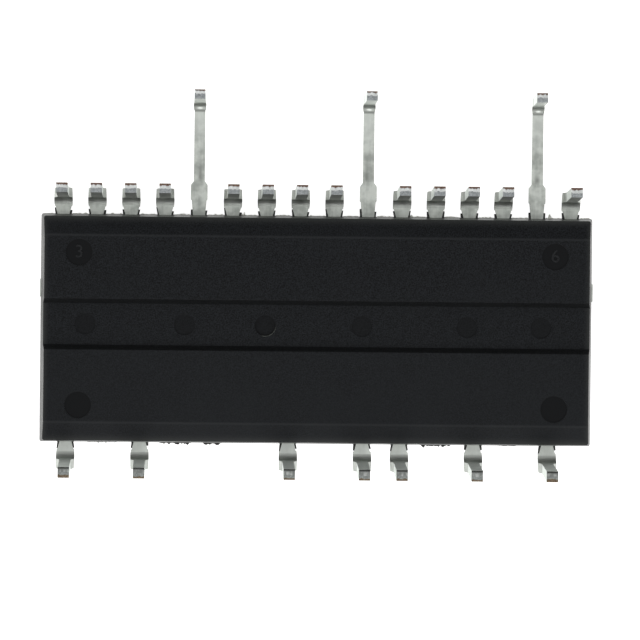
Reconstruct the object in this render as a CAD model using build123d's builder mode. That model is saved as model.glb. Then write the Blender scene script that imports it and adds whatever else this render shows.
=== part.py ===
from build123d import *
import os
from math import cos, degrees, hypot, radians, sin, tan

# Intelligent power module: three half bridges and their three gate drivers on a copper leadframe,
# moulded in one block of black epoxy with a row of leads along each long side.
# Millimetres. The package lies on its flat back, the face that goes against the heat sink, with z = 0
# there. Its underside and its lead tips point up, +Y is the side with sixteen control leads.

# Moulding
body_length = 29.0
body_width = 12.0
lower_cavity_depth = 1.55
upper_cavity_depth = 1.55
end_draft = 8.0
side_draft = 5.5
corner_radius = 0.12
back_edge_radius = 0.08
land_half_width = 4.9
bevel_fall = 0.35
bevel_edge_radius = 0.2
channel_centre = 0.24
channel_width = 2.67
channel_depth = 0.35
channel_wall_run = 0.25
channel_edge_radius = 0.06

# Round marks that the mould leaves on the underside
ejector_mark_diameter = 1.4
ejector_mark_depth = 0.06
ejector_mark_end_margin = 2.03
ejector_mark_side_margin = 2.0
support_mark_diameter = 1.1
support_mark_depth = 0.06
deep_support_mark_depth = 0.13
support_mark_offsets = (-0.455, -0.435, -0.095, -1.275, 2.295, 0.985)
deep_support_mark = 3

# Leads, stamped from copper strip and tinned
strip_thickness = 0.5
control_lead_count = 16
control_end_margin = 1.165
phase_lead_count = 5
wired_lead_count = 4
pin_width = 0.6
long_pin_width = 0.58
root_width = 0.64
root_insert = 0.14
root_length = 0.38
long_root_length = 0.76
root_end_width = 0.84
long_root_end_width = 0.78
dam_bar_ledge = 0.02
shoulder_width = 0.94
long_shoulder_width = 0.88
shoulder_reach = 1.58
shoulder_chamfer = 0.2
bend_inner_radius = 0.4
short_bend_start = 0.45
output_bend_start = 0.48
long_bend_start = 5.47
short_splay = 4.0
long_splay = 2.1
overall_height = 6.2

# Output side: each lead stands a number of steps from the first one, which is near the W phase's end
output_lead_steps = (13, 11, 9, 8, 6, 2, 0)
output_first_margin = 1.375
output_last_margin = 2.275

# Leadframe inside the moulding
lead_finger_length = 1.45
lead_anchor_width = 1.2
lead_anchor_length = 0.75
pad_back_wall = 0.45
pad_step_start = 0.55
pad_step_run = 0.95
pad_step_radius = 0.3
arm_width = 1.2
driver_bar_edge = 1.62
driver_bar_width = 2.3
driver_bar_left_margin = 1.9
driver_bar_right_margin = 0.7
tie_bar_width = 0.94
tie_bar_stub = 0.04
bus_pad_edge = -0.9
bus_pad_width = 2.2
bus_pad_left_margin = 1.5
bus_pad_right_margin = 1.675
output_pad_edge = -1.4
output_pad_gap = 0.5
output_pad_u_reach = 2.3
output_pad_v_left_reach = 3.4
output_pad_v_right_reach = 2.8
output_pad_w_reach = 2.7

# Chips, the layers that hold them and the wires between them
solder_thickness = 0.05
adhesive_thickness = 0.03
switch_length = 2.2
switch_width = 1.6
switch_thickness = 0.25
driver_length = 2.6
driver_width = 1.5
driver_thickness = 0.3
low_switch_offsets = (0.275, 1.025, 0.825)
low_switch_line = -3.0
driver_line = 2.75
power_wire_diameter = 0.25
power_wire_rise = 0.6
power_wire_side_shift = 0.2
power_wire_back_shift = 0.3
output_landing_offsets = (-1.625, -1.475, 5.325)
output_landing_inset = 0.7
negative_landing_shift = 0.1
control_wire_diameter = 0.08
control_wire_rise = 0.3
high_switch_pads = ((-0.4, 0.3), (0.3, 0.3))
low_switch_pad = (0.7, 0.5)
driver_pad_pitch = 0.6
driver_pad_end_margin = 0.4
driver_pad_row = 0.45
common_wire_margin = 0.3
common_wire_reach = 0.7
wire_foot_length = 2.0
wire_apex_share = 0.3
wire_sides = 8

os.makedirs("parts", exist_ok=True)

body_height = lower_cavity_depth + upper_cavity_depth
parting_height = lower_cavity_depth
strip_top = parting_height + strip_thickness / 2
pad_level = pad_back_wall + strip_thickness / 2
pad_top = pad_back_wall + strip_thickness
bend_radius = bend_inner_radius + strip_thickness / 2
upright = 0.9
side_wall = body_width / 2
end_wall = body_length / 2
lead_pitch = (body_length - 2 * control_end_margin) / (control_lead_count - 1)
output_pitch = (body_length - output_first_margin - output_last_margin) / max(output_lead_steps)
output_lead_places = [output_first_margin - end_wall + step * output_pitch for step in output_lead_steps]
driver_pitch = phase_lead_count * lead_pitch


def finish(piece, name):
    """Name a finished piece and write it out."""
    piece.label = name
    export_step(piece, f"parts/{name}.step")
    return piece


def control_lead_place(number):
    """Place of a control lead along the body, counted from the end with the common lead."""
    return ((control_lead_count - 1) / 2 - (number - 1)) * lead_pitch


def outer_strip(place, side, is_long):
    """One lead outside the body: flared root, shoulder left by the dam bar, bend and pin."""
    width = long_pin_width if is_long else pin_width
    shoulder = long_shoulder_width if is_long else shoulder_width
    splay = radians(long_splay if is_long else short_splay)
    root_end = long_root_length if is_long else root_length
    root_end_half = (long_root_end_width if is_long else root_end_width) / 2
    if is_long:
        bend_start = long_bend_start
    elif side > 0:
        bend_start = short_bend_start
    else:
        bend_start = output_bend_start
    turn = radians(90) - splay
    outward = Plane((place, side * side_wall, parting_height), x_dir=(0, side, 0), z_dir=(0, 0, 1))
    across = outward.y_dir

    bend_centre = outward.origin + outward.x_dir * bend_start + Vector(0, 0, bend_radius)
    bend_drop = Vector(0, 0, bend_radius * cos(turn))
    stem_start = bend_centre + outward.x_dir * bend_radius * sin(turn) - bend_drop
    stem_dir = outward.x_dir * cos(turn) + Vector(0, 0, sin(turn))
    tip_drop = strip_thickness / 2 * cos(turn)
    stem_length = (overall_height - tip_drop - stem_start.Z) / sin(turn)
    stem = Plane(stem_start, x_dir=stem_dir, z_dir=stem_dir.cross(across))
    bend_width = width if is_long else shoulder
    neck = shoulder_reach - bend_start - bend_radius * turn

    with BuildPart() as strip:
        with BuildSketch(outward):
            with BuildLine():
                if is_long:
                    half_outline = [
                        (-root_insert, root_width / 2),
                        (0, root_width / 2),
                        (root_end, root_end_half),
                        (root_end + dam_bar_ledge, shoulder / 2),
                        (shoulder_reach, shoulder / 2),
                        (shoulder_reach + shoulder_chamfer, width / 2),
                        (bend_start, width / 2),
                    ]
                else:
                    half_outline = [
                        (-root_insert, root_width / 2),
                        (0, root_width / 2),
                        (root_end, root_end_half),
                        (root_end + dam_bar_ledge, shoulder / 2),
                        (bend_start, shoulder / 2),
                    ]
                Polyline(*half_outline, *[(x, -y) for x, y in reversed(half_outline)], close=True)
            make_face()
        extrude(amount=strip_thickness / 2, both=True)

        bend_section = Plane(
            outward.origin + outward.x_dir * bend_start, x_dir=across, z_dir=outward.x_dir
        )
        with BuildSketch(bend_section):
            Rectangle(bend_width, strip_thickness)
        revolve(axis=Axis(bend_centre, across * -1), revolution_arc=degrees(turn))

        with BuildSketch(stem):
            with BuildLine():
                if is_long:
                    half_outline = [(0, width / 2), (stem_length, width / 2)]
                else:
                    half_outline = [
                        (0, shoulder / 2),
                        (neck, shoulder / 2),
                        (neck + shoulder_chamfer, width / 2),
                        (stem_length, width / 2),
                    ]
                Polyline(*half_outline, *[(x, -y) for x, y in reversed(half_outline)], close=True)
            make_face()
        extrude(amount=strip_thickness / 2, both=True)
    return strip.part


def flat_copper(outline, level):
    """A flat part of the leadframe, given by its outline seen from the underside."""
    with BuildPart() as sheet:
        with BuildSketch(Plane.XY.offset(level)):
            with BuildLine():
                Polyline(*outline, close=True)
            make_face()
        extrude(amount=strip_thickness / 2, both=True)
    return sheet.part


def rectangle_outline(left, right, low, high):
    """Corners of a rectangle between two X and two Y values."""
    return [(left, low), (right, low), (right, high), (left, high)]


def lead_finger(place, side):
    """Inner end of a plain lead: a neck and a wide anchor that the epoxy holds."""
    wall = side_wall - root_insert
    anchor_start = side_wall - lead_finger_length + lead_anchor_length
    inner_end = side_wall - lead_finger_length
    outline = [
        (place - root_width / 2, side * wall),
        (place - root_width / 2, side * anchor_start),
        (place - lead_anchor_width / 2, side * anchor_start),
        (place - lead_anchor_width / 2, side * inner_end),
        (place + lead_anchor_width / 2, side * inner_end),
        (place + lead_anchor_width / 2, side * anchor_start),
        (place + root_width / 2, side * anchor_start),
        (place + root_width / 2, side * wall),
    ]
    return flat_copper(outline, parting_height)


def step_down(place, length):
    """Arm of a power lead: it steps down from the lead plane to the plane of the chip pads."""
    start = -side_wall + root_insert
    step_start = -side_wall + pad_step_start
    step_end = step_start + pad_step_run
    with BuildPart() as arm:
        with BuildLine(Plane.YZ.offset(place)) as path:
            FilletPolyline(
                (start, parting_height),
                (step_start, parting_height),
                (step_end, pad_level),
                (start + length, pad_level),
                radius=pad_step_radius,
            )
        with BuildSketch(Plane.XZ.offset(-start)):
            with Locations((place, parting_height)):
                Rectangle(arm_width, strip_thickness)
        sweep()
    return arm.part


def lead(name, *parts):
    """Join the stretches of one lead, which are one piece of copper, and write it out."""
    with BuildPart() as whole:
        add(list(parts))
    return finish(whole.part, name)


def chip(length, width, thickness, centre, base):
    """A bare silicon chip, or the layer that holds one."""
    with BuildPart() as plate:
        with BuildSketch(Plane.XY.offset(base)):
            with Locations(centre):
                Rectangle(length, width)
        extrude(amount=thickness)
    return plate.part


def bond_wire(first, second, diameter, rise):
    """A wedge-bonded aluminium wire: a flat foot on each surface and an uneven loop between them."""
    radius = diameter / 2
    foot = wire_foot_length * diameter
    run_x = second[0] - first[0]
    run_y = second[1] - first[1]
    length = hypot(run_x, run_y)
    along = Vector(run_x, run_y, 0) / length
    loop_plane = Plane((first[0], first[1], 0), x_dir=along, z_dir=along.cross(Vector(0, 0, 1)))
    apex = max(first[2], second[2]) + rise
    with BuildPart() as wire:
        with BuildLine(loop_plane):
            Polyline(
                (0, first[2] + radius),
                (foot, first[2] + radius),
                (foot + wire_apex_share * (length - 2 * foot), apex),
                (length - foot, second[2] + radius),
                (length, second[2] + radius),
            )
        foot_centre = loop_plane.from_local_coords((0, first[2] + radius))
        with BuildSketch(Plane(foot_centre, x_dir=loop_plane.z_dir, z_dir=along)):
            RegularPolygon(radius, wire_sides, major_radius=False, rotation=180 / wire_sides)
        sweep(transition=Transition.RIGHT)
    return wire.part


def group(solids, name):
    """Like pieces kept together as a group of separate solids."""
    with BuildPart() as collected:
        add(solids)
    return finish(collected.part, name)


# Control leads and the copper inside them
driver_bar = flat_copper(
    rectangle_outline(
        -end_wall + driver_bar_left_margin,
        end_wall - driver_bar_right_margin,
        driver_bar_edge,
        driver_bar_edge + driver_bar_width,
    ),
    parting_height,
)
tie_bars = flat_copper(
    rectangle_outline(
        -end_wall - tie_bar_stub, end_wall + tie_bar_stub, driver_bar_edge, driver_bar_edge + tie_bar_width
    ),
    parting_height,
)
common_place = control_lead_place(1)
common_arm = flat_copper(
    rectangle_outline(
        common_place - root_width / 2,
        common_place + root_width / 2,
        driver_bar_edge + driver_bar_width,
        side_wall - root_insert,
    ),
    parting_height,
)
leads = [lead("lead_01_common", outer_strip(common_place, 1, False), common_arm, driver_bar, tie_bars)]

control_lead_names = (
    "bootstrap_u", "supply_u", "input_high_u", "input_low_u", "spare_u",
    "bootstrap_v", "supply_v", "input_high_v", "input_low_v", "spare_v",
    "bootstrap_w", "supply_w", "input_high_w", "input_low_w", "spare_w",
)
for number, name in enumerate(control_lead_names, start=2):
    place = control_lead_place(number)
    is_long = name.startswith("bootstrap")
    leads.append(
        lead(f"lead_{number:02d}_{name}", outer_strip(place, 1, is_long), lead_finger(place, 1))
    )

# Output leads. The bus lead ends in the long pad under the high side, each output lead in its own pad
bus_place, u_place, negative_u_place, negative_v_place = output_lead_places[:4]
v_place, negative_w_place, w_place = output_lead_places[4:]
output_places = (u_place, v_place, w_place)
bus_pad = flat_copper(
    rectangle_outline(
        -end_wall + bus_pad_left_margin,
        end_wall - bus_pad_right_margin,
        bus_pad_edge,
        bus_pad_edge + bus_pad_width,
    ),
    pad_level,
)
leads.append(
    lead(
        "lead_17_positive_bus",
        outer_strip(bus_place, -1, False),
        step_down(bus_place, side_wall - root_insert + bus_pad_edge + strip_thickness),
        bus_pad,
    )
)

pad_low_edge = -side_wall + pad_step_start + pad_step_run
output_pads = {
    "lead_18_output_u": (u_place, u_place - output_pad_u_reach, bus_place - arm_width / 2 - output_pad_gap),
    "lead_21_output_v": (v_place, v_place - output_pad_v_left_reach, v_place + output_pad_v_right_reach),
    "lead_23_output_w": (w_place, w_place - arm_width / 2, negative_w_place + output_pad_w_reach),
}
for name, (place, left, right) in output_pads.items():
    pad = flat_copper(rectangle_outline(left, right, pad_low_edge, output_pad_edge), pad_level)
    arm = step_down(place, side_wall - root_insert + pad_low_edge + strip_thickness)
    leads.append(lead(name, outer_strip(place, -1, False), arm, pad))

negative_leads = {
    "lead_19_negative_u": negative_u_place,
    "lead_20_negative_v": negative_v_place,
    "lead_22_negative_w": negative_w_place,
}
for name, place in negative_leads.items():
    leads.append(lead(name, outer_strip(place, -1, False), lead_finger(place, -1)))

# Chips: a switch above and below in each phase, and one gate driver for each pair
switch_base = pad_top + solder_thickness
switch_top = switch_base + switch_thickness
driver_base = strip_top + adhesive_thickness
driver_top = driver_base + driver_thickness
high_switch_line = bus_pad_edge + bus_pad_width / 2
phases = ("u", "v", "w")
marked_places = (bus_place, u_place, negative_v_place, v_place, negative_w_place, w_place)
support_mark_places = [place + offset for place, offset in zip(marked_places, support_mark_offsets)]
between_marks = [(first + second) / 2 for first, second in zip(support_mark_places, support_mark_places[1:])]
high_switch_places = (between_marks[1], between_marks[2], between_marks[4])
low_switch_places = [place + offset for place, offset in zip(output_places, low_switch_offsets)]
output_landings = [place + offset for place, offset in zip(output_places, output_landing_offsets)]
driver_places = (driver_pitch, 0, -driver_pitch)

chips = []
solder_layers = []
adhesive_layers = []
for phase, high_place, low_place, driver_place in zip(
    phases, high_switch_places, low_switch_places, driver_places
):
    for side, centre in (
        ("high", (high_place, high_switch_line)),
        ("low", (low_place, low_switch_line)),
    ):
        solder_layers.append(chip(switch_length, switch_width, solder_thickness, centre, pad_top))
        switch = chip(switch_length, switch_width, switch_thickness, centre, switch_base)
        chips.append(finish(switch, f"switch_chip_{side}_{phase}"))
    centre = (driver_place, driver_line)
    adhesive_layers.append(chip(driver_length, driver_width, adhesive_thickness, centre, strip_top))
    driver = chip(driver_length, driver_width, driver_thickness, centre, driver_base)
    chips.append(finish(driver, f"gate_driver_chip_{phase}"))
chip_layers = [
    group(solder_layers, "switch_solder_layers"),
    group(adhesive_layers, "driver_adhesive_layers"),
]

# Wires of each phase. The thick ones carry the load current, the thin ones are the driver's own
control_landing_line = side_wall - lead_finger_length + lead_anchor_length / 2
negative_landing_line = -side_wall + lead_finger_length - lead_anchor_length / 2
output_landing_line = output_pad_edge - output_landing_inset
negative_places = (negative_u_place, negative_v_place, negative_w_place)
wires = []
for index, phase in enumerate(phases):
    high_place = high_switch_places[index]
    low_place = low_switch_places[index]
    driver_place = driver_places[index]
    output_side = 1 if output_landings[index] > high_place else -1
    negative_side = 1 if negative_places[index] > low_place else -1
    power_wires = [
        bond_wire(
            (
                high_place + output_side * power_wire_side_shift,
                high_switch_line - power_wire_back_shift,
                switch_top,
            ),
            (output_landings[index], output_landing_line, pad_top),
            power_wire_diameter,
            power_wire_rise,
        ),
        bond_wire(
            (
                low_place + negative_side * power_wire_side_shift,
                low_switch_line - power_wire_back_shift,
                switch_top,
            ),
            (negative_places[index], negative_landing_line - negative_landing_shift, strip_top),
            power_wire_diameter,
            power_wire_rise,
        ),
    ]
    wires.append(group(power_wires, f"power_wires_{phase}"))

    control_wires = []
    first_lead = 2 + phase_lead_count * index
    for step in range(wired_lead_count):
        offset = driver_length / 2 - driver_pad_end_margin - step * driver_pad_pitch
        control_wires.append(
            bond_wire(
                (driver_place + offset, driver_line + driver_pad_row, driver_top),
                (control_lead_place(first_lead + step), control_landing_line, strip_top),
                control_wire_diameter,
                control_wire_rise,
            )
        )
    driver_end = driver_place - driver_length / 2
    control_wires.append(
        bond_wire(
            (driver_end + common_wire_margin, driver_line, driver_top),
            (driver_end - common_wire_reach, driver_line, strip_top),
            control_wire_diameter,
            control_wire_rise,
        )
    )
    targets = [(high_place + x, high_switch_line + y, switch_top) for x, y in high_switch_pads]
    targets.append((low_place + low_switch_pad[0], low_switch_line + low_switch_pad[1], switch_top))
    for step, target in enumerate(sorted(targets)):
        control_wires.append(
            bond_wire(
                (driver_place + (step - 1) * driver_pad_pitch, driver_line - driver_pad_row, driver_top),
                target,
                control_wire_diameter,
                control_wire_rise,
            )
        )
    wires.append(group(control_wires, f"control_wires_{phase}"))

# The moulding, drafted both ways from its parting plane, with bevels along the lead sides and a
# shallow channel between two lands
with BuildPart() as moulding:
    for level, depth in ((body_height, upper_cavity_depth), (0, lower_cavity_depth)):
        end_inset = depth * tan(radians(end_draft))
        side_inset = depth * tan(radians(side_draft))
        with BuildSketch(Plane.XY.offset(parting_height)):
            Rectangle(body_length, body_width)
        with BuildSketch(Plane.XY.offset(level)):
            Rectangle(body_length - 2 * end_inset, body_width - 2 * side_inset)
        loft(ruled=True)

    top_half_width = side_wall - upper_cavity_depth * tan(radians(side_draft))
    bevel_slope = bevel_fall / (top_half_width - land_half_width)
    with BuildSketch(Plane.YZ):
        for side in (1, -1):
            with BuildLine():
                Polyline(
                    (side * land_half_width, body_height),
                    (side * side_wall, body_height),
                    (side * side_wall, body_height - bevel_slope * (side_wall - land_half_width)),
                    close=True,
                )
            make_face()
        with BuildLine():
            Polyline(
                (channel_centre - channel_width / 2, body_height),
                (channel_centre - channel_width / 2 + channel_wall_run, body_height - channel_depth),
                (channel_centre + channel_width / 2 - channel_wall_run, body_height - channel_depth),
                (channel_centre + channel_width / 2, body_height),
                close=True,
            )
        make_face()
    extrude(amount=end_wall, both=True, mode=Mode.SUBTRACT)

    land_edges = moulding.edges().filter_by(Axis.X).group_by(Axis.Z)[-1]
    fillet(land_edges.sort_by(Axis.Y)[1:3], radius=channel_edge_radius)
    upper_half = (parting_height + body_height) / 2
    upper_edges = moulding.edges().filter_by(Axis.X).filter_by(lambda edge: edge.center().Z > upper_half)
    fillet([upper_edges.sort_by(Axis.Y)[0], upper_edges.sort_by(Axis.Y)[-1]], radius=bevel_edge_radius)
    corner_edges = moulding.edges().filter_by(
        lambda edge: abs(edge.center().Y) > land_half_width and abs(edge.tangent_at(0.5).Z) > upright
    )
    fillet(corner_edges, radius=corner_radius)
    fillet(moulding.faces().sort_by(Axis.Z)[0].edges(), radius=back_edge_radius)

    with BuildSketch(Plane.XY.offset(body_height)):
        with GridLocations(
            body_length - 2 * ejector_mark_end_margin, body_width - 2 * ejector_mark_side_margin, 2, 2
        ):
            Circle(ejector_mark_diameter / 2)
    extrude(amount=-ejector_mark_depth, mode=Mode.SUBTRACT)
    for index, place in enumerate(support_mark_places):
        depth = deep_support_mark_depth if index == deep_support_mark else support_mark_depth
        with BuildSketch(Plane.XY.offset(body_height - channel_depth)):
            with Locations((place, channel_centre)):
                Circle(support_mark_diameter / 2)
        extrude(amount=-depth, mode=Mode.SUBTRACT)

    add(leads + chips + chip_layers + wires, mode=Mode.SUBTRACT)
finish(moulding.part, "moulded_body")
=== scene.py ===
import math
import random

import bmesh
import bpy
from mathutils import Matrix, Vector


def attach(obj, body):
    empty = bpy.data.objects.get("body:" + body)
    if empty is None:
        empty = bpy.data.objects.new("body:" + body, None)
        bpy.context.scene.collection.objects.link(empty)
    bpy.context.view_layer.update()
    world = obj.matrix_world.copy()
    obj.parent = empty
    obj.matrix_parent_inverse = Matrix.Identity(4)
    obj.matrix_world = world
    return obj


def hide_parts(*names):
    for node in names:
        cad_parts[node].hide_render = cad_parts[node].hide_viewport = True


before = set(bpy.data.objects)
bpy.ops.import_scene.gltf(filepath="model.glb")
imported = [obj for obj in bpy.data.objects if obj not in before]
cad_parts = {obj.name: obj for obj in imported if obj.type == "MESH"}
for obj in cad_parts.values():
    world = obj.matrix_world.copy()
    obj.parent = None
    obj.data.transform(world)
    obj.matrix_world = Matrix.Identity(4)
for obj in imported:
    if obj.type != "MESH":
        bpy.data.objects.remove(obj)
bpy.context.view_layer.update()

# Leads. Each is one strip of copper, stamped and tinned in the leadframe, then trimmed at the dam bar
# and bent up. The tin is matte with a faint grain along the strip, and the stamping leaves soft edges.
mm = 0.001
strip_thickness = 0.5 * mm
parting_height = 1.55 * mm
side_wall = 6.0 * mm
end_wall = 14.5 * mm
tip_height = 6.2 * mm
tip_zone = tip_height - 0.1 * mm
stamped_edge = 0.028 * mm
stamped_from = side_wall - 0.15 * mm

control_lead_count = 16
control_pitch = 1.778 * mm
middle_index = (control_lead_count - 1) / 2
long_lead_indexes = (1, 6, 11)
control_places = [(middle_index - index) * control_pitch for index in range(control_lead_count)]
long_places = [control_places[index] for index in long_lead_indexes]
first_output = -13.125 * mm
output_step = 1.95 * mm
output_places = [first_output + step * output_step for step in (13, 11, 9, 8, 6, 2, 0)]

bend_inner_radius = 0.4 * mm
bend_height = parting_height + strip_thickness / 2 + bend_inner_radius
straight_pin_height = bend_height + 0.05 * mm
bend_starts = {"control": 0.45 * mm, "output": 0.48 * mm, "long": 5.47 * mm}
bend_swells = {"control": 0.018 * mm, "output": 0.018 * mm, "long": 0.05 * mm}
bend_margin = 0.02 * mm
pin_leans = {2: -0.07 * mm, 12: -0.02 * mm}
shoulder_half_width = 0.47 * mm
shoulder_margin = 0.005 * mm
shoulder_narrowing = 0.085 * mm
inner_tip_reach = 7.4 * mm
shear_drag = 0.07 * mm
merge_distance = 0.001 * mm
flat_angle = math.radians(0.5)
sharp_angle = math.radians(40)
smooth_angle = math.radians(32)

tin_pale = (0.54, 0.565, 0.53, 1)
tin_dull = (0.34, 0.36, 0.335, 1)
tin_fresh = (0.66, 0.69, 0.655, 1)
# Painted shade on the leads, which also colours the die scores.
tin_shade_and_score = (0.2, 0.21, 0.195, 1)
# Painted highlight across the short leads' bends.
tin_bend_highlight = (0.84, 0.87, 0.83, 1)
# Painted light on the pins' flanks and on the output pins' faces towards the body.
tin_painted_light = (0.86, 0.92, 0.87, 1)
tin_roughness = (0.36, 0.5)
tin_grain_height = 0.006 * mm
tin_cloud_waves = 1900
tin_streak_waves = 9000
tin_speck_waves = 20000
tin_streak_stretch = (1, 0.06, 0.06)
short_row_end = (8 * mm, 9 * mm)
flat_end = (6.9 * mm, 7 * mm)
far_run_start = (9.2 * mm, 10.8 * mm)
# Where the painted shade band lies at the start of the control leads' bends.
shade_band_start = (6.42 * mm, 6.5 * mm)
shade_band_end = (6.68 * mm, 6.78 * mm)
bend_slope = 0.62
score_start = (7.75 * mm, 7.95 * mm)
score_fade_start = 8.0 * mm
score_half_width = (0.02 * mm, 0.15 * mm)
score_lines_and_ends = ((-6.183 * mm, 9.3 * mm), (2.567 * mm, 9.4 * mm), (11.54 * mm, 8.4 * mm))
# Painted shade at the start of the long leads' bends, round a spot left paler as the highlight.
bend_shade_start = (11.37 * mm, 11.45 * mm)
bend_shade_half_width = (0.3 * mm, 0.4 * mm)
highlight_spot_place = 11.6 * mm
highlight_spot_radius = 0.05 * mm
highlight_spot_flattening = 0.4
# Height where the painted light on the pins' flanks sets in.
flank_start = (2.5 * mm, 2.9 * mm)
# Heights and reach of the painted light on the output pins' faces towards the body.
lit_inside_heights = (2.2 * mm, 4.6 * mm)
lit_inside_from_wall = (-6.6 * mm, -6.4 * mm)


def select_only(piece):
    """Make one piece the active and only selected object."""
    bpy.ops.object.select_all(action="DESELECT")
    piece.select_set(True)
    bpy.context.view_layer.objects.active = piece


def dress(piece, *finishes):
    """Give a piece its finishes, and none but these."""
    piece.data.materials.clear()
    for finish in finishes:
        piece.data.materials.append(finish)


def merged_copy(node, name):
    """A copy of a CAD node with its loose triangles joined into one skin."""
    piece = bpy.data.objects.new(name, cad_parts[node].data.copy())
    bpy.context.scene.collection.objects.link(piece)
    select_only(piece)
    bpy.ops.object.mode_set(mode="EDIT")
    bpy.ops.mesh.select_all(action="SELECT")
    bpy.ops.mesh.remove_doubles(threshold=merge_distance)
    bpy.ops.mesh.customdata_custom_splitnormals_clear()
    bpy.ops.object.mode_set(mode="OBJECT")
    return piece


def soften_edges(piece, width, wanted):
    """Round the sharp edges of a piece that the test picks."""
    select_only(piece)
    bpy.ops.object.mode_set(mode="EDIT")
    bpy.ops.mesh.select_all(action="SELECT")
    bpy.ops.mesh.dissolve_limited(angle_limit=flat_angle)
    bpy.ops.mesh.select_all(action="DESELECT")
    mesh = bmesh.from_edit_mesh(piece.data)
    for edge in mesh.edges:
        sharp = edge.is_manifold and edge.calc_face_angle(0) > sharp_angle
        edge.select_set(bool(sharp and wanted(edge)))
    bmesh.update_edit_mesh(piece.data)
    bpy.ops.mesh.bevel(offset=width, segments=2, profile=0.6, clamp_overlap=True)
    bpy.ops.object.mode_set(mode="OBJECT")


def smooth_by_area(piece):
    """Shade the rounds smooth and keep the flat faces flat."""
    select_only(piece)
    bpy.ops.object.shade_smooth_by_angle(angle=smooth_angle)
    weighted = piece.modifiers.new("weighted", "WEIGHTED_NORMAL")
    weighted.mode = "FACE_AREA"
    weighted.weight = 60
    weighted.keep_sharp = True
    bpy.ops.object.modifier_apply(modifier=weighted.name)


def new_finish(name):
    """A node material with its shader and its object coordinates."""
    finish = bpy.data.materials.new(name)
    finish.use_nodes = True
    tree = finish.node_tree
    shader = tree.nodes["Principled BSDF"]
    place = tree.nodes.new("ShaderNodeTexCoord").outputs["Object"]
    return finish, tree, shader, place


def split(tree, vector):
    """The X, Y and Z of a place or a direction."""
    parts = tree.nodes.new("ShaderNodeSeparateXYZ")
    tree.links.new(vector, parts.inputs["Vector"])
    return parts.outputs["X"], parts.outputs["Y"], parts.outputs["Z"]


def noise(tree, place, waves, detail=4, stretch=(1, 1, 1)):
    """Noise at so many waves per metre, stretched along the axes."""
    mapping = tree.nodes.new("ShaderNodeMapping")
    mapping.inputs["Scale"].default_value = stretch
    tree.links.new(place, mapping.inputs["Vector"])
    texture = tree.nodes.new("ShaderNodeTexNoise")
    texture.inputs["Scale"].default_value = waves
    texture.inputs["Detail"].default_value = detail
    tree.links.new(mapping.outputs["Vector"], texture.inputs["Vector"])
    return texture.outputs["Fac"]


def ramp(tree, value, low, high, start=0.3, end=0.7):
    """Turn a value into a colour between two colours."""
    colours = tree.nodes.new("ShaderNodeValToRGB")
    colours.color_ramp.elements[0].position = start
    colours.color_ramp.elements[0].color = low
    colours.color_ramp.elements[1].position = end
    colours.color_ramp.elements[1].color = high
    tree.links.new(value, colours.inputs["Fac"])
    return colours.outputs["Color"]


def spread(tree, value, low, high, start=0.3, end=0.7):
    """Turn a value into another range."""
    change = tree.nodes.new("ShaderNodeMapRange")
    change.inputs["From Min"].default_value = start
    change.inputs["From Max"].default_value = end
    change.inputs["To Min"].default_value = low
    change.inputs["To Max"].default_value = high
    tree.links.new(value, change.inputs["Value"])
    return change.outputs["Result"]


def rises(tree, value, start, end, full=1):
    """0 up to the start, and its full strength from the end on."""
    return spread(tree, value, 0, full, start, end)


def falls(tree, value, start, end, full=1):
    """Full strength up to the start, and 0 from the end on."""
    return spread(tree, value, full, 0, start, end)


def sums(tree, operation, first, second=0):
    """One step of arithmetic on one or two values."""
    step = tree.nodes.new("ShaderNodeMath")
    step.operation = operation
    for socket, value in zip(step.inputs, (first, second)):
        if isinstance(value, (int, float)):
            socket.default_value = value
        else:
            tree.links.new(value, socket)
    return step.outputs["Value"]


def product(tree, first, *others):
    """All the values multiplied together."""
    for value in others:
        first = sums(tree, "MULTIPLY", first, value)
    return first


def absolute(tree, value):
    """A value without its sign."""
    return sums(tree, "ABSOLUTE", value)


def away_from(tree, value, middle):
    """How far a value lies from a middle, to either side."""
    return absolute(tree, sums(tree, "SUBTRACT", value, middle))


def mix(tree, factor, first, second):
    """Blend two colours."""
    blend = tree.nodes.new("ShaderNodeMix")
    blend.data_type = "RGBA"
    tree.links.new(factor, blend.inputs["Factor"])
    for socket, value in ((blend.inputs[6], first), (blend.inputs[7], second)):
        if isinstance(value, tuple):
            socket.default_value = value
        else:
            tree.links.new(value, socket)
    return blend.outputs[2]


def round_mask(tree, across, along, radius, rim=0.02 * mm):
    """1 inside a round mark, 0 outside."""
    squares = sums(tree, "ADD", product(tree, across, across), product(tree, along, along))
    return falls(tree, sums(tree, "SQRT", squares), radius - rim, radius + rim)


def grain(tree, shader, height, distance):
    """Raise the surface by a height map."""
    bump = tree.nodes.new("ShaderNodeBump")
    bump.inputs["Strength"].default_value = 1
    bump.inputs["Distance"].default_value = distance
    tree.links.new(height, bump.inputs["Height"])
    tree.links.new(bump.outputs["Normal"], shader.inputs["Normal"])


def shaded_inside(tree, y, normal_y):
    """Painted shade on the face of a short control pin that looks towards the body."""
    facing = falls(tree, normal_y, -1, -0.8, 0.7)
    return product(tree, facing, falls(tree, y, *short_row_end), rises(tree, y, *flat_end))


def shade_band(tree, y, normal_y):
    """A band of painted shade at the start of the bend, on the faces that slope along the lead."""
    reach = absolute(tree, y)
    tilted = rises(tree, absolute(tree, normal_y), 0.02, 0.12)
    return product(tree, rises(tree, reach, *shade_band_start, 0.45), falls(tree, reach, *shade_band_end), tilted)


def lit_bend(tree, y, normal_y):
    """Painted highlight on the short leads' bends, where the faces slope at about the bend slope."""
    bent = falls(tree, away_from(tree, absolute(tree, normal_y), bend_slope), 0.08, 0.3, 0.9)
    return product(tree, bent, falls(tree, y, *short_row_end))


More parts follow.
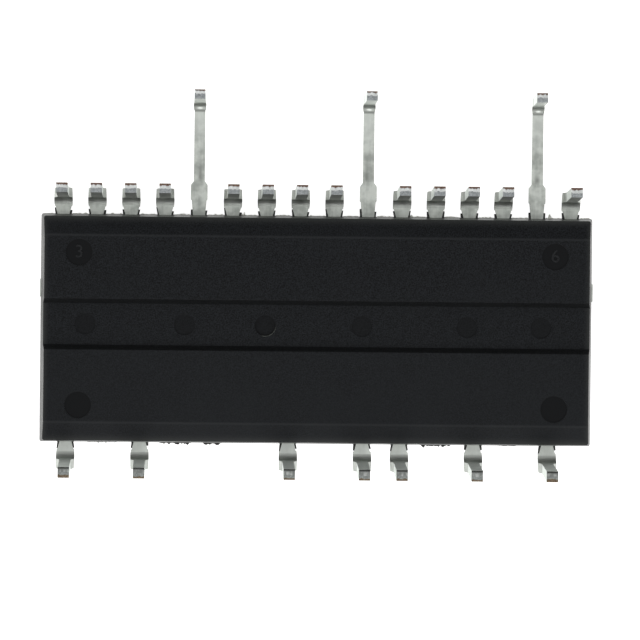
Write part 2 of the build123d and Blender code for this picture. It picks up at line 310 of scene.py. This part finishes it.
def die_score(tree, x, y, normal_z, line, end):
    """A fine score that the die leaves along the flat of a long lead."""
    narrow = falls(tree, away_from(tree, x, line), *score_half_width, 0.75)
    fade = falls(tree, y, score_fade_start, end)
    return product(tree, narrow, rises(tree, y, *score_start), fade, rises(tree, normal_z, 0.3, 0.8))


def bend_shade_ring(tree, x, y, normal_z, line):
    """Painted shade at the start of a long lead's bend, round a spot left paler as its painted highlight.
    """
    across = away_from(tree, x, line)
    narrow = falls(tree, across, *bend_shade_half_width)
    upwards = rises(tree, normal_z, 0.25, 0.5)
    from_spot = sums(tree, "SUBTRACT", y, highlight_spot_place)
    spot = round_mask(tree, product(tree, across, highlight_spot_flattening), from_spot, highlight_spot_radius)
    around_spot = sums(tree, "SUBTRACT", 1, product(tree, spot, 0.7))
    return product(tree, rises(tree, y, *bend_shade_start, 0.85), upwards, narrow, around_spot)


def lit_flank(tree, z, normal_x):
    """Painted reflection: the pins' sideways faces are painted pale above a height."""
    sideways = rises(tree, absolute(tree, normal_x), 0.85, 0.97, 0.8)
    return product(tree, sideways, rises(tree, z, *flank_start))


def lit_inside(tree, y, z, normal_y):
    """Painted light on the output pins' faces towards the body, stronger towards the tip."""
    above_bend = spread(tree, z, 0.45, 0.6, *lit_inside_heights)
    towards_body = rises(tree, normal_y, 0.8, 0.97)
    past_wall = falls(tree, y, *lit_inside_from_wall)
    return product(tree, above_bend, towards_body, past_wall)


def tin_look(tree, shader, place):
    """Colour, roughness and grain of the matte tin, with painted shade and painted light on the pins and
    bends.
    """
    x, y, z = split(tree, place)
    normal_x, normal_y, normal_z = split(tree, tree.nodes.new("ShaderNodeNewGeometry").outputs["Normal"])
    cloud = noise(tree, place, tin_cloud_waves, detail=6)
    streak = noise(tree, place, tin_streak_waves, detail=3, stretch=tin_streak_stretch)
    speck = noise(tree, place, tin_speck_waves, detail=2)

    tone = sums(tree, "ADD", product(tree, cloud, 0.8), product(tree, streak, 0.2))
    colour = ramp(tree, tone, tin_dull, tin_pale, 0.38, 0.58)
    output_side = falls(tree, y, -side_wall, side_wall, 0.55)
    fresh = sums(tree, "MAXIMUM", output_side, rises(tree, y, *far_run_start, 0.5))
    colour = mix(tree, fresh, colour, tin_fresh)
    # Painted highlight on the short leads' bends.
    colour = mix(tree, lit_bend(tree, y, normal_y), colour, tin_bend_highlight)

    # Painted shade on the pins and bends, together with the die scores.
    painted_light_or_score = sums(tree, "MAXIMUM", shaded_inside(tree, y, normal_y), shade_band(tree, y, normal_y))
    for line, end in score_lines_and_ends:
        painted_light_or_score = sums(tree, "MAXIMUM", painted_light_or_score, die_score(tree, x, y, normal_z, line, end))
    for line in long_places:
        painted_light_or_score = sums(tree, "MAXIMUM", painted_light_or_score, bend_shade_ring(tree, x, y, normal_z, line))
    colour = mix(tree, painted_light_or_score, colour, tin_shade_and_score)
    # Painted light on the pins' flanks and on the output pins' faces towards the body, which are also made
    # rougher.
    colour = mix(tree, lit_flank(tree, z, normal_x), colour, tin_painted_light)
    lit_inside_mask = lit_inside(tree, y, z, normal_y)
    colour = mix(tree, lit_inside_mask, colour, tin_painted_light)
    tree.links.new(colour, shader.inputs["Base Color"])

    rough = sums(tree, "ADD", spread(tree, cloud, *tin_roughness), product(tree, lit_inside_mask, 0.35))
    tree.links.new(rough, shader.inputs["Roughness"])
    grain(tree, shader, sums(tree, "ADD", streak, product(tree, speck, 0.7)), tin_grain_height)


tin, tree, shader, place = new_finish("matte_tin")
shader.inputs["Metallic"].default_value = 1
tin_look(tree, shader, place)

# Sheared tips. Each pin is cut to length last: bare copper shows along its outer edge, and the tin smears
# over the rest. A dark line painted along the inner edge stands for the burr's shadow. The tear is duller
# and patchier on the output side.
clean_shear = {
    "bright": ((0.56, 0.58, 0.57, 1), (0.80, 0.82, 0.81, 1), 0.3, 0.7),
    "dull": ((0.20, 0.215, 0.22, 1), (0.36, 0.38, 0.385, 1)),
    "copper": ((0.07, 0.042, 0.034, 1), (0.26, 0.17, 0.13, 1)),
    "burr_shadow": 0.6 * mm,
}
patchy_shear = {
    "bright": ((0.17, 0.18, 0.172, 1), (0.38, 0.395, 0.38, 1), 0.44, 0.68),
    "dull": ((0.13, 0.14, 0.136, 1), (0.26, 0.275, 0.265, 1)),
    "copper": ((0.05, 0.038, 0.027, 1), (0.19, 0.145, 0.10, 1)),
    "burr_shadow": 0.485 * mm,
}
# Painted shadow of the burr along the inner edge of the tips.
burr_shadow_colour = (0.05, 0.051, 0.048, 1)
tear_depth = 0.2 * mm
tear_blend = 0.02 * mm
tear_relief = 0.008 * mm


def around(line):
    """The short stretch in which a tear passes a line."""
    return line - tear_blend, line + tear_blend


def cut_end_finish(name, shear, outer_edge, copper_depth, bright_from, bright_to):
    """Sheared tip of a pin: the depths run inwards from its outer edge."""
    finish, tree, shader, place = new_finish(name)
    shader.inputs["Metallic"].default_value = 1
    shader.inputs["Roughness"].default_value = 0.48
    smear = noise(tree, place, 7000, detail=3, stretch=(1, 0.3, 1))
    fleck = noise(tree, place, 12000, detail=3)
    bright = ramp(tree, smear, *shear["bright"])
    dull = ramp(tree, fleck, *shear["dull"])
    copper = ramp(tree, fleck, *shear["copper"])
    reach = absolute(tree, split(tree, place)[1])
    depth = sums(tree, "SUBTRACT", outer_edge, reach)
    torn = sums(tree, "ADD", depth, product(tree, sums(tree, "SUBTRACT", smear, 0.5), tear_depth))
    band = product(tree, rises(tree, torn, *around(bright_from)), falls(tree, torn, *around(bright_to)))
    tinned = mix(tree, band, dull, bright)
    # Painted shadow of the burr: a dark line along the inner edge.
    edged = mix(tree, rises(tree, depth, *around(shear["burr_shadow"])), tinned, burr_shadow_colour)
    colour = mix(tree, falls(tree, torn, *around(copper_depth)), edged, copper)
    tree.links.new(colour, shader.inputs["Base Color"])
    grain(tree, shader, fleck, tear_relief)
    return finish


control_edge = 7.624 * mm
long_edge = 12.52 * mm
output_edge = 7.663 * mm
deep_copper_leads = (17, 23)
control_tear = (0.1 * mm, 0.1 * mm, 0.26 * mm)
long_tear = (0.09 * mm, 0.1 * mm, 0.24 * mm)
output_tear = (0.11 * mm, 0.28 * mm, 0.46 * mm)
deep_output_tear = (0.17 * mm, 0.32 * mm, 0.46 * mm)
row_ends = {
    "control": cut_end_finish("sheared_end_control", clean_shear, control_edge, *control_tear),
    "long": cut_end_finish("sheared_end_long", clean_shear, long_edge, *long_tear),
    "output": cut_end_finish("sheared_end_output", patchy_shear, output_edge, *output_tear),
}
deep_copper_end = cut_end_finish("sheared_end_output_deep", patchy_shear, output_edge, *deep_output_tear)


# Tie bars. They held the leadframe while it was moulded, and are sheared off flush with the moulding
# at both of its ends, which leaves a small scored copper face there.
def grained_finish(name, low, high, relief, metallic=0, roughness=0.5, shares=(0.3, 0.7), **pattern):
    """A finish whose noise gives it both its two tones and its grain."""
    finish, tree, shader, place = new_finish(name)
    marks = noise(tree, place, **pattern)
    tree.links.new(ramp(tree, marks, low, high, *shares), shader.inputs["Base Color"])
    shader.inputs["Metallic"].default_value = metallic
    shader.inputs["Roughness"].default_value = roughness
    grain(tree, shader, marks, relief)
    return finish


tie_bar_end = grained_finish(
    "sheared_tie_bar",
    (0.10, 0.065, 0.05, 1),
    (0.46, 0.40, 0.36, 1),
    relief=0.01 * mm,
    metallic=1,
    waves=6000,
    stretch=(1, 0.3, 1),
)


def form_bend(strip, place, bend_start, bend_swell, lean):
    """The shear drags the inner edge of an output tip out, the pin leans, its shoulder narrows above
    the bend, and bending squeezes the copper out sideways inside the bend."""
    for corner in strip.data.vertices:
        if corner.co.z > tip_zone and -inner_tip_reach < corner.co.y < 0:
            corner.co.y += shear_drag
        above_bend = corner.co.z > straight_pin_height
        if above_bend:
            corner.co.x += lean * (corner.co.z - bend_height) / (tip_height - bend_height)
        if above_bend and shoulder_half_width - abs(corner.co.x - place) < shoulder_margin:
            corner.co.x -= math.copysign(shoulder_narrowing, corner.co.x - place)
        out = abs(corner.co.y) - side_wall - bend_start
        down = bend_height - corner.co.z
        on_inside = abs(math.hypot(out, down) - bend_inner_radius) < bend_margin
        if on_inside and out > 0 and down > 0 and abs(corner.co.x - place) < strip_thickness:
            swell = bend_swell * math.sqrt(max(math.sin(2 * math.atan2(out, down)), 0))
            corner.co.x += math.copysign(swell, corner.co.x - place)


def outside_body(edge):
    """True for an edge of the strip that stands clear of the moulding."""
    return all(abs(corner.co.y) > stamped_from for corner in edge.verts)


for node in sorted(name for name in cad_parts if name.startswith("lead_")):
    strip = merged_copy(node, "tinned_" + node)
    number = int(node[5:7])
    row = "long" if "bootstrap" in node else "control" if number <= control_lead_count else "output"
    place = (control_places + output_places)[number - 1]
    form_bend(strip, place, bend_starts[row], bend_swells[row], pin_leans.get(number, 0))
    soften_edges(strip, stamped_edge, outside_body)
    smooth_by_area(strip)
    dress(strip, tin, deep_copper_end if number in deep_copper_leads else row_ends[row], tie_bar_end)
    for face in strip.data.polygons:
        if face.normal.z > 0.9 and face.center.z > tip_zone:
            face.material_index = 1
        elif abs(face.center.x) > end_wall:
            face.material_index = 2
    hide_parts(node)
    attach(strip, "root")

# Chips, solder, chip adhesive and bond wires. They are sealed in the epoxy: bare silicon soldered or
# glued to the copper, and aluminium wires welded from the chips to the leads.
silicon, tree, shader, place = new_finish("silicon")
cells = tree.nodes.new("ShaderNodeTexVoronoi")
cells.inputs["Scale"].default_value = 9000
tree.links.new(place, cells.inputs["Vector"])
colour = ramp(tree, cells.outputs["Distance"], (0.05, 0.055, 0.075, 1), (0.16, 0.17, 0.20, 1))
tree.links.new(colour, shader.inputs["Base Color"])
shader.inputs["Metallic"].default_value = 0.6
shader.inputs["Roughness"].default_value = 0.2
grain(tree, shader, cells.outputs["Distance"], 0.002 * mm)

solder = grained_finish(
    "solder",
    (0.42, 0.42, 0.43, 1),
    (0.62, 0.62, 0.63, 1),
    relief=0.01 * mm,
    metallic=1,
    roughness=0.4,
    waves=4000,
)
adhesive = grained_finish(
    "chip_adhesive",
    (0.30, 0.30, 0.29, 1),
    (0.55, 0.55, 0.53, 1),
    relief=0.01 * mm,
    metallic=0.7,
    roughness=0.55,
    waves=12000,
)
aluminium = grained_finish(
    "bond_wire",
    (0.62, 0.63, 0.64, 1),
    (0.80, 0.81, 0.82, 1),
    relief=0.002 * mm,
    metallic=1,
    roughness=0.3,
    waves=15000,
    stretch=(1, 0.2, 1),
)
sealed_finishes = {"_chip_": silicon, "_solder_": solder, "_adhesive_": adhesive, "_wires_": aluminium}
for name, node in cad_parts.items():
    for sealed, finish in sealed_finishes.items():
        if sealed in name:
            dress(node, finish)

# Moulded body. One block of glass-filled black epoxy, pressed round the leadframe. The mould is spark
# eroded, so the skin has a fine matte grain, and its ejector and support pins leave smooth round marks.
body_height = 3.1 * mm
channel_floor = 2.75 * mm
channel_centre = 0.24 * mm
channel_reach = 2 * mm
channel_margin = 0.05 * mm
ejector_place = (12.47 * mm, 4.0 * mm)
ejector_radius = 0.7 * mm
support_places = [x * mm for x in (-12.14, -6.93, -2.70, 2.38, 7.89, 11.77)]
support_radius = 0.55 * mm
support_strength = 0.65
# The support mark with the painted glint, and the size and side of its crescent.
glinting_support = support_places[2]
lip_outwards = 0.025 * mm
lip_inwards = 0.005 * mm
lip_side = (0.3 * mm, 0.42 * mm)
lip_direction = (0.5, -0.87)
land_edge = 4.9 * mm
edge_line = 0.055 * mm
wall_zone = (14.2 * mm, 5.6 * mm)
# The painted highlight of the outer edges rises between these distances.
rim_highlight_starts = (13.95 * mm, 5.42 * mm)
rim_highlight_ends = (14.32 * mm, 5.92 * mm)
# Painted light on the flat faces fades from the first place to the second, towards the control side.
front_lit_side = (-5.5 * mm, 2 * mm)
# Within this reach of the channel's centre the skin keeps a painted shade.
channel_wall = (1.1 * mm, 1.3 * mm)

skin_dark = (0.0004, 0.0005, 0.0008, 1)
skin_pale = (0.0119, 0.0136, 0.0157, 1)
# Tone of the dust and of the painted light towards the output side.
skin_dust_and_light = (0.0108, 0.0120, 0.0134, 1)
skin_marked = (0.0024, 0.0028, 0.0034, 1)
# Painted highlight along the edge of the flat land.
skin_edge_highlight = (0.020, 0.0215, 0.023, 1)
# Painted glint on one support mark's rim.
skin_glint = (0.07, 0.0755, 0.066, 1)
# Painted highlight on the body's rounded outer edges.
skin_rim_highlight = (0.034, 0.0355, 0.0345, 1)
skin_roughness = (0.5, 0.58)
skin_relief = 0.016 * mm
wall_relief = 0.012 * mm
speckle_waves = 17000
erosion_waves = 26000
haze_waves = 260


def epoxy_grain(tree, place):
    """Speckle, broad haze and fine relief of the moulded skin."""
    speckle = noise(tree, place, speckle_waves)
    eroded = noise(tree, place, erosion_waves, detail=2)
    haze = noise(tree, place, haze_waves)
    return speckle, haze, sums(tree, "ADD", speckle, product(tree, eroded, 0.6))


def epoxy_finish(name, specular, low, high, roughness, relief):
    """Epoxy skin with its speckle, haze and grain alone."""
    finish, tree, shader, place = new_finish(name)
    speckle, haze, heights = epoxy_grain(tree, place)
    shader.inputs["Specular IOR Level"].default_value = specular
    tree.links.new(ramp(tree, speckle, low, high), shader.inputs["Base Color"])
    tree.links.new(spread(tree, haze, *roughness), shader.inputs["Roughness"])
    grain(tree, shader, heights, relief)
    return finish


def wall_finish(name, specular):
    """Skin of the drafted walls, glossier than the flat faces and painted paler as the floor's reflection.
    """
    colours = ((0.006, 0.0065, 0.0065, 1), (0.028, 0.029, 0.027, 1))
    finish = epoxy_finish(name, specular, *colours, (0.26, 0.44), wall_relief)
    finish.node_tree.nodes["Principled BSDF"].inputs["Specular Tint"].default_value = (0.97, 1, 0.92, 1)
    return finish


def pin_marks(tree, x, y, from_channel):
    """The round marks of the mould's ejector pins and, fainter, of its support pins."""
    from_ejector = [
        sums(tree, "SUBTRACT", absolute(tree, axis), middle) for axis, middle in zip((x, y), ejector_place)
    ]
    marks = round_mask(tree, *from_ejector, ejector_radius)
    for line in support_places:
        from_mark = sums(tree, "SUBTRACT", x, line)
        support = product(tree, round_mask(tree, from_mark, from_channel, support_radius), support_strength)
        marks = sums(tree, "MAXIMUM", marks, support)
    return marks


def lip_glint(tree, x, from_channel, speckle):
    """A painted glint: a pale crescent along the rim of one support mark."""
    from_mark = sums(tree, "SUBTRACT", x, glinting_support)
    outside = round_mask(tree, from_mark, from_channel, support_radius + lip_outwards)
    inside = round_mask(tree, from_mark, from_channel, support_radius - lip_inwards)
    ring = sums(tree, "SUBTRACT", outside, inside)
    along_x = product(tree, from_mark, lip_direction[0])
    along_y = product(tree, from_channel, lip_direction[1])
    one_side = rises(tree, sums(tree, "ADD", along_x, along_y), *lip_side)
    return product(tree, ring, one_side, spread(tree, speckle, 0.25, 1, 0.4, 0.6))


def skin_look(tree, shader, place):
    """Colour, roughness and grain of the flat faces, painted lighter towards the output side, with painted
    shade in the channel and painted highlights.
    """
    x, y = split(tree, place)[:2]
    speckle, haze, relief = epoxy_grain(tree, place)
    from_channel = sums(tree, "SUBTRACT", y, channel_centre)
    marks = pin_marks(tree, x, y, from_channel)

    # Dust at random, and painted light that makes the faces lighter towards the output side; in the channel
    # both are cut back, which is painted shade there.
    dust_and_front_light = sums(tree, "ADD", rises(tree, haze, 0.45, 0.75, 0.25), falls(tree, y, *front_lit_side, 0.5))
    clear_of_channel_shade = spread(tree, absolute(tree, from_channel), 0.2, 1, *channel_wall)
    colour = ramp(tree, speckle, skin_dark, skin_pale, 0.34, 0.66)
    colour = mix(tree, product(tree, dust_and_front_light, clear_of_channel_shade), colour, skin_dust_and_light)
    colour = mix(tree, product(tree, marks, 0.95), colour, skin_marked)
    # Painted highlight: a pale line along the edge of the flat land.
    from_edge = away_from(tree, absolute(tree, y), land_edge)
    painted_light_or_score = falls(tree, from_edge, edge_line * 0.4, edge_line * 1.6)
    colour = mix(tree, product(tree, painted_light_or_score, 0.6), colour, skin_edge_highlight)
    colour = mix(tree, lip_glint(tree, x, from_channel, speckle), colour, skin_glint)
    # Painted highlight: the skin turns paler towards the body's rounded outer edges.
    rim_highlight_x = rises(tree, absolute(tree, x), rim_highlight_starts[0], rim_highlight_ends[0], 0.85)
    rim_highlight_y = rises(tree, absolute(tree, y), rim_highlight_starts[1], rim_highlight_ends[1])
    rim = sums(tree, "POWER", sums(tree, "MAXIMUM", rim_highlight_x, rim_highlight_y), 2)
    tree.links.new(mix(tree, rim, colour, skin_rim_highlight), shader.inputs["Base Color"])

    rough = sums(tree, "SUBTRACT", spread(tree, haze, *skin_roughness), product(tree, marks, 0.12))
    tree.links.new(rough, shader.inputs["Roughness"])
    calm = sums(tree, "SUBTRACT", 1, product(tree, marks, 0.8))
    grain(tree, shader, product(tree, relief, calm), skin_relief)


epoxy, tree, shader, place = new_finish("black_epoxy")
shader.inputs["Specular IOR Level"].default_value = 0.105
skin_look(tree, shader, place)
epoxy_end = wall_finish("epoxy_end_wall", 0.27)
epoxy_side = wall_finish("epoxy_side_wall", 0.5)
# Painted shade: the channel's walls are darker and less glossy than the flat faces.
shaded_channel_wall = epoxy_finish(
    "shaded_channel_wall",
    0.075,
    (0.002, 0.0022, 0.0024, 1),
    (0.0105, 0.0112, 0.0118, 1),
    skin_roughness,
    wall_relief,
)

body = merged_copy("moulded_body", "epoxy_body")
smooth_by_area(body)
dress(body, epoxy, epoxy_end, shaded_channel_wall, epoxy_side)
for face in body.data.polygons:
    on_wall = abs(face.center.y) > wall_zone[1] or abs(face.center.x) > wall_zone[0]
    off_centre = abs(face.center.y - channel_centre)
    in_channel = off_centre < channel_reach and face.center.z > channel_floor - channel_margin
    if on_wall and abs(face.normal.z) < 0.75:
        face.material_index = 3 if abs(face.normal.y) > abs(face.normal.x) else 1
    elif in_channel and abs(face.normal.y) > 0.5:
        face.material_index = 2
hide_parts("moulded_body")
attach(body, "root")

# Resin left by trimming. The epoxy fills the space between the leads out to the dam bar, and most of it
# breaks away with the bar: chips stay against the leads' flanks, and a rough film stays along the wall.
root_half_width = 0.32 * mm
roots = {"short": (0.38 * mm, 0.42 * mm, 0.47 * mm), "long": (0.76 * mm, 0.39 * mm, 0.44 * mm)}
chip_sunk = 0.06 * mm
flank_overlap = 0.02 * mm
flank_least = 0.004 * mm
chip_taper = 0.25
chip_cuts = 3
chip_raggedness = 0.01 * mm
chip_widths = (0.07, 0.13)
chip_heights = {-1: (0.2, 0.4), 1: (0.12, 0.34)}
highest_seed = 999
film_thickness = 0.09 * mm
film_step = 0.05 * mm
film_sunk = 0.05 * mm
film_from_lead = 0.45 * mm
film_from_end = 0.1 * mm
film_least_steps = 6
film_least_share = 0.1
film_tear_share = 1.7
film_taper_ends = 8
film_raggedness = 0.012 * mm
low_film_height = 0.05 * mm
tall_film_height = 0.16 * mm
tall_film_places_and_widths = ((-13.0, 0.22), (-9.7, 0.3), (-3.9, 0.25), (4.95, 0.24), (12.3, 0.3))
output_film_stretches = (
    (-8.2, -6.5, 0.1 * mm),
    (-5.9, -4.9, 0.1 * mm),
    (5.5, 7.15, 0.1 * mm),
    (-12.0, -10.4, 0.03 * mm),
    (9.6, 10.6, 0.03 * mm),
)
random.seed(12)

resin = grained_finish(
    "broken_resin",
    (0.012, 0.012, 0.012, 1),
    (0.05, 0.05, 0.046, 1),
    relief=0.03 * mm,
    roughness=0.6,
    shares=(0.35, 0.7),
    waves=9000,
    detail=5,
)
resin.node_tree.nodes["Principled BSDF"].inputs["Specular IOR Level"].default_value = 0.3
# Painted light: the control side's film is painted near white for the light the bright sheet throws on it.
pale_lit_film = grained_finish(
    "resin_film",
    (0.66, 0.67, 0.60, 1),
    (0.95, 0.95, 0.89, 1),
    relief=0.03 * mm,
    roughness=0.55,
    shares=(0.35, 0.65),
    waves=7000,
    detail=5,
)


def roughen(piece, amount, seed):
    """Break up the shape a little, the same way each time."""
    select_only(piece)
    bpy.ops.object.mode_set(mode="EDIT")
    bpy.ops.mesh.select_all(action="SELECT")
    bpy.ops.transform.vertex_random(offset=amount, seed=seed)
    bpy.ops.object.mode_set(mode="OBJECT")


def resin_chip(place, side, hand, root, width, height, seed):
    """A wedge of resin beside a lead's root: hand is the flank, width is at the wall."""
    bpy.ops.object.select_all(action="DESELECT")
    bpy.ops.mesh.primitive_cube_add(size=1, location=(0, 0.5, 0))
    piece = bpy.context.active_object
    bpy.ops.object.transform_apply(location=True, rotation=False, scale=False)
    bpy.ops.object.mode_set(mode="EDIT")
    bpy.ops.mesh.select_all(action="SELECT")
    bpy.ops.mesh.subdivide(number_cuts=chip_cuts)
    bpy.ops.object.mode_set(mode="OBJECT")
    root_end, root_end_half, shoulder_half = roots[root]
    wall_half = root_half_width + width
    for corner in piece.data.vertices:
        out = corner.co.y * (height + chip_sunk) - chip_sunk
        along = min(max(out / root_end, 0), 1)
        flank = root_half_width + (root_end_half - root_half_width) * along
        outer = wall_half + (shoulder_half - wall_half) * corner.co.y
        share = corner.co.x + 0.5
        reach = (flank - flank_overlap) * (1 - share) + max(outer, flank + flank_least) * share
        thick = strip_thickness * (1 - chip_taper * corner.co.y)
        corner.co = (place + hand * reach, side * (side_wall + out), parting_height + corner.co.z * thick)
    roughen(piece, chip_raggedness, seed)
    return piece


def resin_film(start, end, side, height, seed):
    """A thin torn film along the body's wall between two places."""
    bpy.ops.object.select_all(action="DESELECT")
    steps = max(film_least_steps, int((end - start) / film_step))
    bpy.ops.mesh.primitive_grid_add(x_subdivisions=steps, y_subdivisions=2, size=1, location=(0, 0, 0))
    piece = bpy.context.active_object
    draw = random.Random(seed)
    tears = [draw.random() for _ in range(steps + 1)]
    before = [tears[0]] + tears[:-1]
    after = tears[1:] + [tears[-1]]
    profile = [(left + 3 * middle + right) / 5 for left, middle, right in zip(before, tears, after)]
    for corner in piece.data.vertices:
        share = corner.co.x + 0.5
        taper = min(1, film_taper_ends * share, film_taper_ends * (1 - share))
        torn = height * (film_least_share + film_tear_share * profile[round(share * steps)] ** 2) * taper
        out = (corner.co.y + 0.5) * (film_sunk + torn) - film_sunk
        along = start + (end - start) * share
        corner.co = (along, side * (side_wall + out), parting_height + film_thickness / 2)
    select_only(piece)
    bpy.ops.object.mode_set(mode="EDIT")
    bpy.ops.mesh.select_all(action="SELECT")
    bpy.ops.mesh.extrude_region_move(TRANSFORM_OT_translate={"value": (0, 0, -film_thickness)})
    bpy.ops.mesh.select_all(action="SELECT")
    bpy.ops.mesh.normals_make_consistent(inside=False)
    bpy.ops.object.mode_set(mode="OBJECT")
    roughen(piece, film_raggedness, seed)
    return piece


def join_resin(pieces, name, finish):
    """Make one piece of all the scraps along one side."""
    bpy.ops.object.select_all(action="DESELECT")
    for piece in pieces:
        piece.select_set(True)
    bpy.context.view_layer.objects.active = pieces[0]
    bpy.ops.object.join()
    scraps = bpy.context.active_object
    scraps.name = name
    scraps.data.name = name
    select_only(scraps)
    bpy.ops.object.mode_set(mode="EDIT")
    bpy.ops.mesh.select_all(action="SELECT")
    bpy.ops.mesh.normals_make_consistent(inside=False)
    bpy.ops.object.mode_set(mode="OBJECT")
    bpy.ops.object.shade_smooth_by_angle(angle=math.radians(35))
    dress(scraps, finish)
    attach(scraps, "root")


for side, places, name in ((1, control_places, "control"), (-1, output_places, "output")):
    chips = []
    for index, place in enumerate(places):
        root = "long" if side > 0 and index in long_lead_indexes else "short"
        for hand in (-1, 1):
            tall = random.uniform(*chip_heights[hand]) * mm
            wide = random.uniform(*chip_widths) * mm
            seed = random.randint(1, highest_seed)
            chips.append(resin_chip(place, side, hand, root, wide, tall, seed))
    join_resin(chips, f"resin_chips_{name}_side", resin)

films = []
gap_end = end_wall - film_from_end
for place in control_places:
    seed = random.randint(1, highest_seed)
    films.append(resin_film(place + film_from_lead, gap_end, 1, low_film_height, seed))
    gap_end = place - film_from_lead
seed = random.randint(1, highest_seed)
films.append(resin_film(film_from_end - end_wall, gap_end, 1, low_film_height, seed))
for middle, width in tall_film_places_and_widths:
    start = (middle - width / 2) * mm
    end = (middle + width / 2) * mm
    films.append(resin_film(start, end, 1, tall_film_height, random.randint(1, highest_seed)))
join_resin(films, "resin_film_control_side", pale_lit_film)

films = []
for start, end, height in output_film_stretches:
    films.append(resin_film(start * mm, end * mm, -1, height, random.randint(1, highest_seed)))
join_resin(films, "resin_film_output_side", resin)

# Cavity numbers. The mould's two ejector pins on the control side carry a small plain figure each,
# which stands a few hundredths of a millimetre proud in the sunken mark.
mark_depth = 0.06 * mm
mark_floor = body_height - mark_depth
figure_height = 0.03 * mm
figure_size = 0.95 * mm

figure_epoxy, tree, shader, place = new_finish("figure_epoxy")
shader.inputs["Specular IOR Level"].default_value = 0.13
shader.inputs["Roughness"].default_value = 0.5
speckle, _, relief = epoxy_grain(tree, place)
colour = ramp(tree, speckle, (0.004, 0.0044, 0.005, 1), (0.0165, 0.018, 0.0195, 1))
tree.links.new(colour, shader.inputs["Base Color"])
grain(tree, shader, relief, 0.01 * mm)

for figure, x in (("3", -ejector_place[0]), ("6", ejector_place[0])):
    bpy.ops.object.select_all(action="DESELECT")
    bpy.ops.object.text_add(location=(0, 0, 0))
    number = bpy.context.active_object
    number.data.body = figure
    number.data.size = figure_size
    number.data.align_x = "CENTER"
    number.data.align_y = "CENTER"
    number.data.extrude = figure_height / 2
    number.location = (x, ejector_place[1], mark_floor + figure_height / 2)
    bpy.ops.object.convert(target="MESH")
    number = bpy.context.active_object
    bpy.ops.object.transform_apply(location=True, rotation=True, scale=True)
    number.name = "cavity_number_" + figure
    number.data.name = number.name
    dress(number, figure_epoxy)
    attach(number, "root")

# Floor. A plain white sheet that the package lies on. It shows white to the camera and pale in
# reflections, and still takes the package's shadow.
floor_size = 1.6
floor_below = 0.03 * mm
glow_to_camera = 0.8
glow_in_reflections = 0.55

bpy.ops.object.select_all(action="DESELECT")
bpy.ops.mesh.primitive_plane_add(size=floor_size, location=(0, 0, -floor_below))
floor = bpy.context.active_object
floor.name = "floor"
sheet = bpy.data.materials.new("white_sheet")
sheet.use_nodes = True
tree = sheet.node_tree
tree.nodes.clear()
diffuse = tree.nodes.new("ShaderNodeBsdfDiffuse")
diffuse.inputs["Color"].default_value = (0.8, 0.8, 0.79, 1)
glow = tree.nodes.new("ShaderNodeEmission")
glow.inputs["Color"].default_value = (1, 1, 1, 1)
path = tree.nodes.new("ShaderNodeLightPath")
mirrored = sums(tree, "MAXIMUM", path.outputs["Is Glossy Ray"], path.outputs["Is Transmission Ray"])
seen = product(tree, path.outputs["Is Camera Ray"], glow_to_camera)
seen = sums(tree, "MAXIMUM", seen, product(tree, mirrored, glow_in_reflections))
tree.links.new(seen, glow.inputs["Strength"])
both = tree.nodes.new("ShaderNodeAddShader")
tree.links.new(diffuse.outputs["BSDF"], both.inputs[0])
tree.links.new(glow.outputs["Emission"], both.inputs[1])
output = tree.nodes.new("ShaderNodeOutputMaterial")
tree.links.new(both.outputs["Shader"], output.inputs["Surface"])
floor.data.materials.append(sheet)

# Studio. Pale light from overhead and from the front, and two soft lamps that point at the package.
# To the camera the background is plain white.
world = bpy.data.worlds.new("studio")
bpy.context.scene.world = world
world.use_nodes = True
tree = world.node_tree
sky = tree.nodes["Background"]
sky.inputs["Color"].default_value = (1, 1, 1, 1)
way_y, way_z = split(tree, tree.nodes.new("ShaderNodeTexCoord").outputs["Generated"])[1:]
overhead = spread(tree, way_z, 0.34, 0.84, 0.1, 0.95)
front = falls(tree, way_y, -0.9, 0, 0.34)
path = tree.nodes.new("ShaderNodeLightPath")
white = sums(tree, "MAXIMUM", sums(tree, "ADD", overhead, front), path.outputs["Is Camera Ray"])
tree.links.new(white, sky.inputs["Strength"])


def soft_lamp(name, spot, size, power):
    """A square lamp that points at the package."""
    bpy.ops.object.light_add(type="AREA", location=spot)
    lamp = bpy.context.active_object
    lamp.name = name
    lamp.data.size = size
    lamp.data.energy = power
    lamp.rotation_euler = Vector(spot).to_track_quat("Z", "Y").to_euler()


soft_lamp("front_lamp", (0.06, -0.34, 0.36), 0.3, 0.8)
soft_lamp("side_lamp", (-0.38, 0.10, 0.28), 0.3, 0.5)

# Camera. It stands at the photograph's angle, almost straight above the package, with a long lens, so
# the pins point at it and show little more than their tips.
lens = bpy.data.cameras.new("camera")
lens.sensor_width = 36
lens.lens = 298.4
lens.clip_start = 0.01
lens.clip_end = 10
camera = bpy.data.objects.new("camera", lens)
camera.location = (-6.946 * mm, 7.693 * mm, 280.572 * mm)
camera.rotation_euler = (math.radians(-1.486), math.radians(-1.451), math.radians(0.613))
bpy.context.scene.collection.objects.link(camera)
bpy.context.scene.camera = camera
bpy.context.scene.view_settings.view_transform = "Standard"
